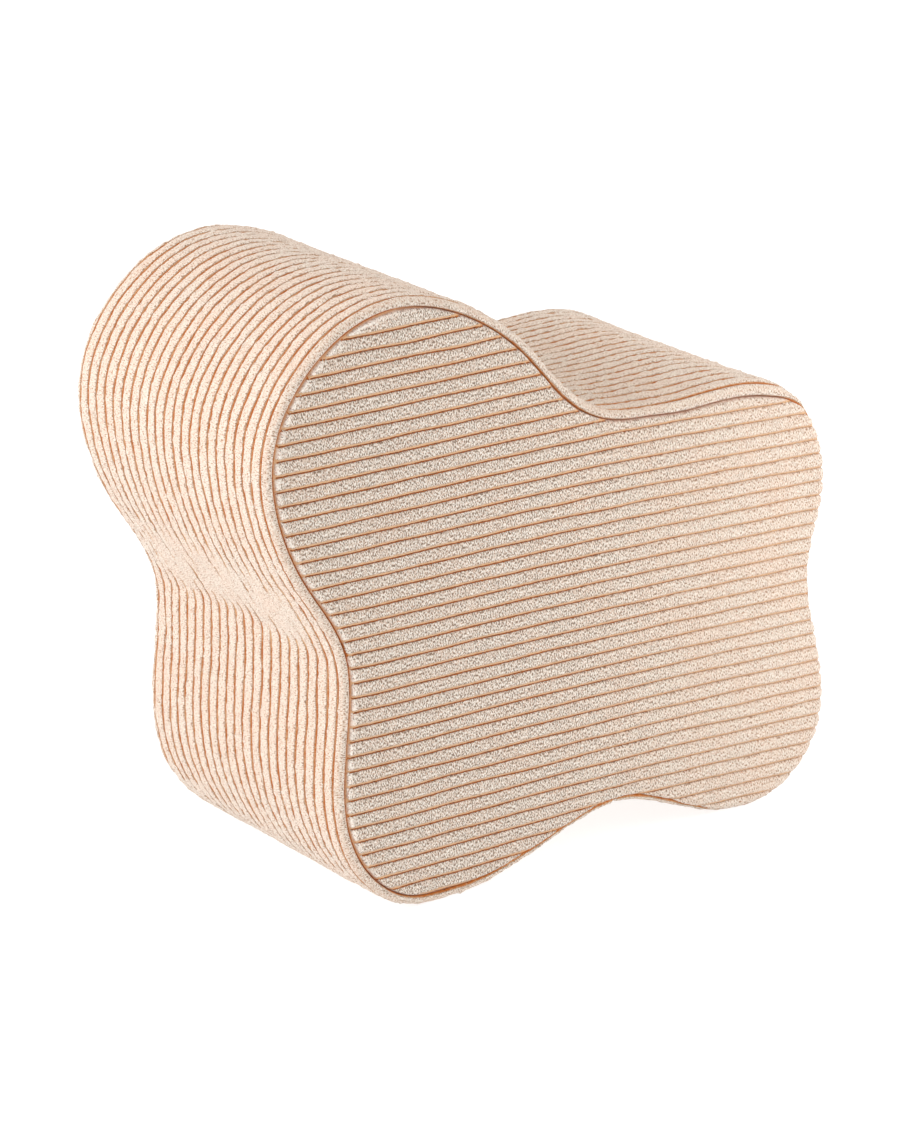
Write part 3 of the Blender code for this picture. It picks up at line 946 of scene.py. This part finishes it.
    def build(self, name, *nodes):
        """The panel as a closed skin: its outer side on a fine grid and its lining on a coarse one."""
        loop = self.inset_line(0)
        rings = [self.inset_line(inset) for inset in self.RINGS]
        grid = self.rib_points(self.GRID, PANEL_SHARES, self.GRID_INSET)
        inner = np.vstack([*rings, grid])
        coarse = self.rib_points(LINING_STEP, (0.0,), self.LINING_INSET)
        skin, values = self.surface(np.vstack([loop, inner]))
        spot, facing = self.locate(coarse)[3:]
        lining = spot - facing * COVER_WALL
        skin_faces = triangles(loop, inner)
        lining_faces = triangles(loop, coarse)[:, ::-1]
        lining_faces = lining_faces + len(inner) * (lining_faces >= len(loop))
        faces = np.vstack([skin_faces, lining_faces])
        if self.side > 0:
            faces = faces[:, ::-1]
        points = np.vstack([skin, lining])
        piece = make_piece(name, points, faces.tolist(), with_lining(values, lining), CORDUROY)
        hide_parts(*nodes)
        return piece


def triangles(loop, inner):
    """Triangles over the inside of a closed anticlockwise line (x, z), with these points inside it.
    A triangle outside it has all its corners on the line, and they run the other way round."""
    points = [Vector(point) for point in np.vstack([loop, inner])]
    made = geometry.delaunay_2d_cdt(points, [], [list(range(len(loop)))], 0, 1e-5, False)
    if len(made[0]) != len(points):
        raise ValueError("two points of a panel lie on each other")
    faces = np.array(made[2])
    rising = (np.roll(faces, -1, axis=1) > faces).sum(1) == 2
    return faces[rising | (faces.max(1) >= len(loop))]


back_upper = Panel(1, 1, seed=31)
back_lower = Panel(1, -1, seed=41)
cover = [
    make_boxing(),
    Panel(-1, 0, seed=21).build("corduroy_front_panel", "cover_front_panel"),
    back_upper.build("corduroy_back_upper", "cover_back_upper"),
    back_lower.build("corduroy_back_lower", "cover_back_lower"),
]
for piece in cover:
    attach(piece, "cushion")


# ---------------------------------------------------------------- the zip


def loft(name, skins, *materials):
    """One piece of closed skins, each given as rings of points and capped at both ends."""
    faces = []
    start = 0
    for rings in skins:
        around = len(rings[0])
        last = start + (len(rings) - 1) * around
        faces += [list(range(start, start + around)), list(range(last, last + around))]
        for here in range(start, last, around):
            for i in range(around):
                j = (i + 1) % around
                faces.append([here + i, here + j, here + around + j, here + around + i])
        start = last + around
    piece = make_piece(name, np.vstack([ring for rings in skins for ring in rings]), faces, {}, *materials)
    shape = bmesh.new()
    shape.from_mesh(piece.data)
    bmesh.ops.recalc_face_normals(shape, faces=shape.faces)
    shape.to_mesh(piece.data)
    shape.free()
    return piece


def tube_rings(path, sideways, radius, sides=6):
    """Rings of a round thread along a path; sideways is any direction across it at each point."""
    along = np.gradient(path, axis=0)
    along /= np.linalg.norm(along, axis=1)[:, None]
    first = sideways - along * (sideways * along).sum(1)[:, None]
    first /= np.linalg.norm(first, axis=1)[:, None]
    second = np.cross(along, first)
    angle = np.arange(sides) * 2 * math.pi / sides
    spread = first[:, None] * np.cos(angle)[:, None] + second[:, None] * np.sin(angle)[:, None]
    return path[:, None] + spread * np.reshape(radius, (-1, 1, 1))


def make_coil(name, node, side):
    """One row of the zip: a nylon wire wound in flat loops, sewn along the edge of its tape."""
    low, high = (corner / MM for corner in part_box(node))
    turns = math.floor((high.x - low.x - 2 * COIL_WIRE) / COIL_PITCH)
    turn = np.linspace(0, turns, turns * 12 + 1)
    angle = 2 * math.pi * turn + math.pi * (side < 0)
    far = max(abs(low.z - ZIP_Z), abs(high.z - ZIP_Z))
    wide = (far - COIL_GAP) / 2 - COIL_WIRE
    deep = (high.y - low.y) / 2 - COIL_WIRE
    turned = np.column_stack([np.zeros(len(turn)), deep * np.sin(angle), wide * np.cos(angle)])
    middle = (low.x + COIL_WIRE, (low.y + high.y) / 2, ZIP_Z + side * (far + COIL_GAP) / 2)
    path = turned + middle + np.outer(turn * COIL_PITCH, (1, 0, 0))
    coil = loft(name, [tube_rings(path, turned, np.full(len(path), COIL_WIRE))], NYLON)
    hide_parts(node)
    return coil


def make_tape(name, node):
    """A woven tape: cords along it, slightly uneven. Its inner edge reaches under its coil's edge."""
    low, high = (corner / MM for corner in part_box(node))
    low.z = low.z if low.z < ZIP_Z else ZIP_Z + COIL_GAP
    high.z = high.z if high.z > ZIP_Z else ZIP_Z - COIL_GAP
    cords = round((high.z - low.z) / TAPE_CORD)
    across = np.linspace(0, cords, cords * 4 + 1)
    half_thick = (high.y - low.y) / 2
    height = half_thick * (0.55 + 0.45 * np.sqrt(np.abs(np.sin(math.pi * across))))
    middle = np.full(len(across), (low.y + high.y) / 2)
    z = low.z + (high.z - low.z) * across / cords
    rng = np.random.default_rng(len(name))
    rings = []
    for x in np.linspace(low.x, high.x, 120):
        uneven = height * (1 - 0.06 * rng.random(len(across)))
        front = np.column_stack([np.full(len(z), x), middle - uneven, z])
        back = np.column_stack([np.full(len(z), x), middle + uneven, z])
        rings.append(np.vstack([front, back[::-1]]))
    tape = loft(name, [rings], TAPE)
    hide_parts(node)
    return tape


def stitch_rings(start, end, facing):
    """One stitch: it comes up out of the cloth at one end and goes down at the other."""
    share = np.array([0, 0.12, 0.35, 0.65, 0.88, 1])
    lift = THREAD * (1.2 * np.sin(math.pi * share) ** 0.5 - 0.5)
    path = start + np.outer(share, end - start) + np.outer(lift, facing)
    radius = THREAD * np.array([0.55, 0.9, 1, 1, 0.9, 0.55])
    return tube_rings(path, np.tile(facing, (len(path), 1)), radius)


def seam_stitches(panel):
    """The ends (x, z) of the stitches that hold one half of the back panel to its tape."""
    reach = ZIP_REACH - ROW_SHORT_OF_TAPE
    beside = SLOT_HALF_WIDTH + STITCH_INSET
    stitches = []
    for number in range(int(2 * reach / STITCH_PITCH)):
        left = ZIP_X - reach + STITCH_PITCH * number
        z = ZIP_Z + panel.half * beside
        stitches.append(((left, z), (left + STITCH_LENGTH, z)))
    for x in (ZIP_X - reach - 1.5, ZIP_X + reach + 1.5):
        for up in np.arange(1.2, beside - 1, STITCH_PITCH):
            ends = [ZIP_Z + panel.half * up, ZIP_Z + panel.half * (up + STITCH_LENGTH)]
            stitches.append([(x, z) for z in ends])
    return stitches


def make_stitches(name, panel):
    """The row of stitches beside the zip, one closed skin for each."""
    backwards = np.array([0.0, 1.0, 0.0])
    skins = []
    for ends in seam_stitches(panel):
        start, end = panel.surface(np.array(ends))[0]
        skins.append(stitch_rings(start, end, backwards))
    stitches = loft(name, skins, THREAD_COTTON)
    return stitches


def soft_edges(node, width):
    """Rounds the edges of a metal CAD part a little, as they are after tumbling."""
    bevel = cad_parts[node].modifiers.new("worn edges", "BEVEL")
    bevel.width = width * MM
    bevel.segments = 2
    bevel.limit_method = "ANGLE"


zip_pieces = [
    make_coil("coil_upper", "zip_coil_upper", 1),
    make_coil("coil_lower", "zip_coil_lower", -1),
    make_tape("tape_upper", "zip_tape_upper"),
    make_tape("tape_lower", "zip_tape_lower"),
    make_stitches("stitches_upper", back_upper),
    make_stitches("stitches_lower", back_lower),
]
for piece in zip_pieces:
    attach(piece, "cushion")

for node in ("zip_slider", "zip_pull", "zip_top_stop_upper", "zip_top_stop_lower", "zip_bottom_stop"):
    soft_edges(node, width=0.15)


# ---------------------------------------------------------------- finishes of the CAD parts


FINISHES = {
    "foam": FOAM,
    "wadding": WADDING,
    "liner": CALICO,
    "label": SATIN,
    "zip_metal": ZINC,
}
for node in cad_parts.values():
    for slot in node.material_slots:
        finish = FINISHES.get(slot.material.name.split(".")[0])
        if finish:
            slot.link = "OBJECT"
            slot.material = finish


# ---------------------------------------------------------------- stage


# The floor glows a little, so that it stays as pale as the space behind it and takes only a faint shadow.
FLOOR_SIZE = 18
FLOOR_COLOUR = (0.36, 0.36, 0.36)
FLOOR_GLOW = 0.79
DAYLIGHT = 0.88

# The camera looks at AIM from this azimuth, elevation and distance, and is rolled a little.
AIM = Vector((0.0, 0.0102, 0.1569))
AZIMUTH = -35.71
ELEVATION = 19.66
ROLL = -0.96
DISTANCE = 2.776
LENS = 150.7


def make_stage():
    make = Shader("floor", 0.9)
    make.colour((*FLOOR_COLOUR, 1))
    make.shader.inputs["Emission Color"].default_value = (1, 1, 1, 1)
    make.shader.inputs["Emission Strength"].default_value = FLOOR_GLOW
    half = FLOOR_SIZE / 2
    corners = [(-half, -half, 0), (half, -half, 0), (half, half, 0), (-half, half, 0)]
    mesh = bpy.data.meshes.new("floor")
    mesh.from_pydata(corners, [], [(0, 1, 2, 3)])
    mesh.materials.append(make.material)
    floor = bpy.data.objects.new("floor", mesh)
    bpy.context.scene.collection.objects.link(floor)


def add_light(name, direction, distance, size, power, colour):
    """A square soft light that looks at the cushion from this direction."""
    data = bpy.data.lights.new(name, "AREA")
    data.shape = "SQUARE"
    data.size = size
    data.energy = power
    data.color = colour
    light = bpy.data.objects.new(name, data)
    bpy.context.scene.collection.objects.link(light)
    way = Vector(direction).normalized()
    light.location = Vector((0, 0, 0.2)) + way * distance
    light.rotation_mode = "QUATERNION"
    light.rotation_quaternion = (-way).to_track_quat("-Z", "Y")


def make_lights():
    """Pale light from all round, with a key light on the left side, a fill on the right and one overhead."""
    world = bpy.data.worlds.new("studio")
    world.use_nodes = True
    background = world.node_tree.nodes["Background"]
    background.inputs["Color"].default_value = (1, 1, 1, 1)
    background.inputs["Strength"].default_value = DAYLIGHT
    bpy.context.scene.world = world
    add_light("key", (-0.90, 0.10, 0.45), 2.0, 0.9, 23, (1.0, 0.985, 1.0))
    add_light("fill", (0.72, -0.66, 0.20), 0.75, 0.4, 2.2, (1.0, 1.0, 1.0))
    add_light("overhead", (0.15, 0.35, 0.90), 2.0, 1.2, 4, (1.0, 0.70, 0.40))


def make_camera():
    azimuth, elevation, roll = (math.radians(angle) for angle in (AZIMUTH, ELEVATION, ROLL))
    back = Vector((
        math.sin(azimuth) * math.cos(elevation),
        -math.cos(azimuth) * math.cos(elevation),
        math.sin(elevation),
    ))
    data = bpy.data.cameras.new("camera")
    data.lens = LENS
    data.sensor_width = 36
    camera = bpy.data.objects.new("camera", data)
    bpy.context.scene.collection.objects.link(camera)
    place_camera = Matrix.Translation(AIM + back * DISTANCE)
    look = (-back).to_track_quat("-Z", "Y").to_matrix().to_4x4()
    camera.matrix_world = place_camera @ look @ Matrix.Rotation(roll, 4, "Z")
    bpy.context.scene.camera = camera


make_stage()
make_lights()
make_camera()
bpy.context.scene.view_settings.view_transform = "Standard"
